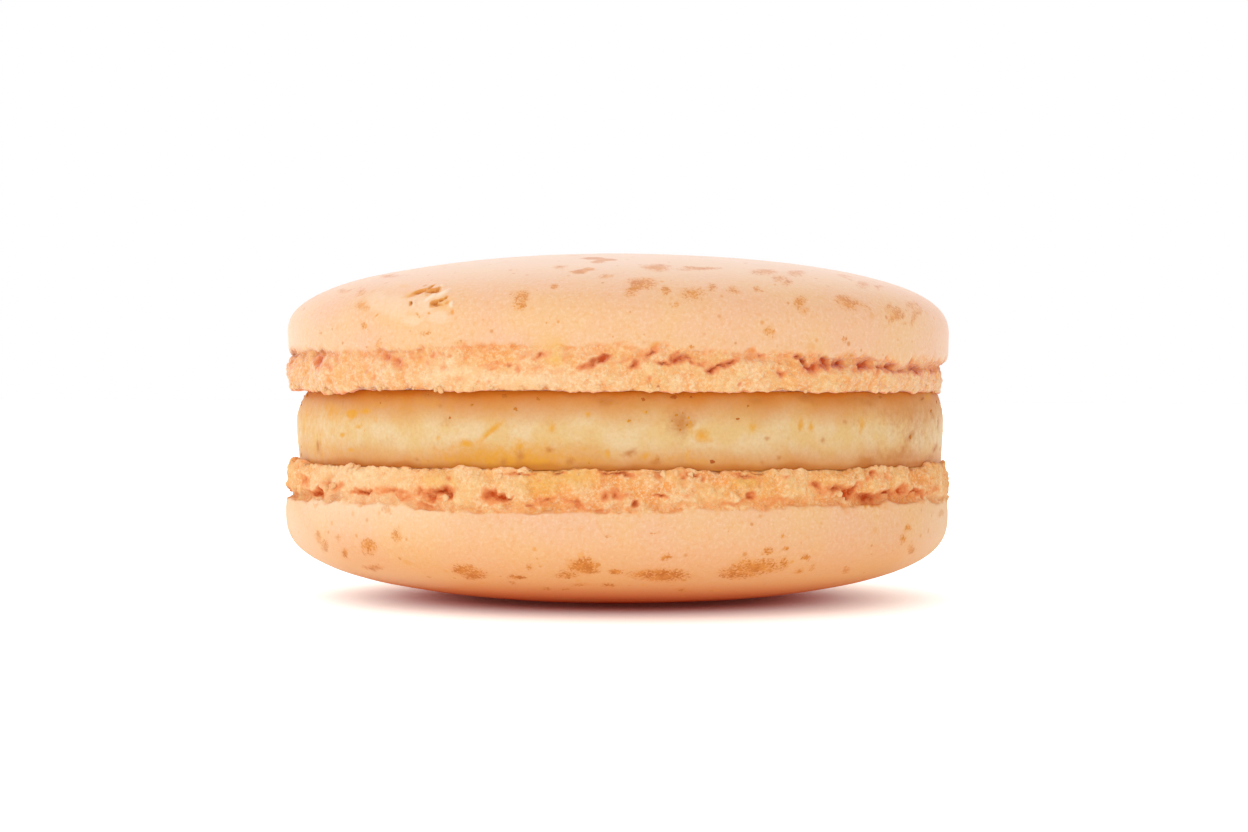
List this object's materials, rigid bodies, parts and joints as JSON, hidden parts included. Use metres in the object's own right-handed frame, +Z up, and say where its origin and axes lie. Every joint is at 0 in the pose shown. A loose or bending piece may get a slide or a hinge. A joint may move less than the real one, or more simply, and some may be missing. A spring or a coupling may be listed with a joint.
{
  "type": "macaron",
  "caption": "Round french macaron: smooth domed almond-meringue shells with rough ruffled feet around a thick bulging layer of speckled buttercream, lying on its lower dome.",
  "frame": {"origin": "middle of the small flat spot on the lower dome, which the macaron rests on", "axes": "+Z up through the stack of shell, filling and shell; +X to the right and +Y away as seen from the front"},
  "size_m": [0.0451, 0.045, 0.0234],
  "materials": {
    "baked_shell": "matt baked almond meringue, pale peach with toasted flecks",
    "buttercream": "satin buttercream, pale yellow with zest and spice specks"
  },
  "bodies": {
    "root": {"shell_top": "baked_shell", "filling": "buttercream", "shell_bottom": "baked_shell"}
  },
  "joints": []
}
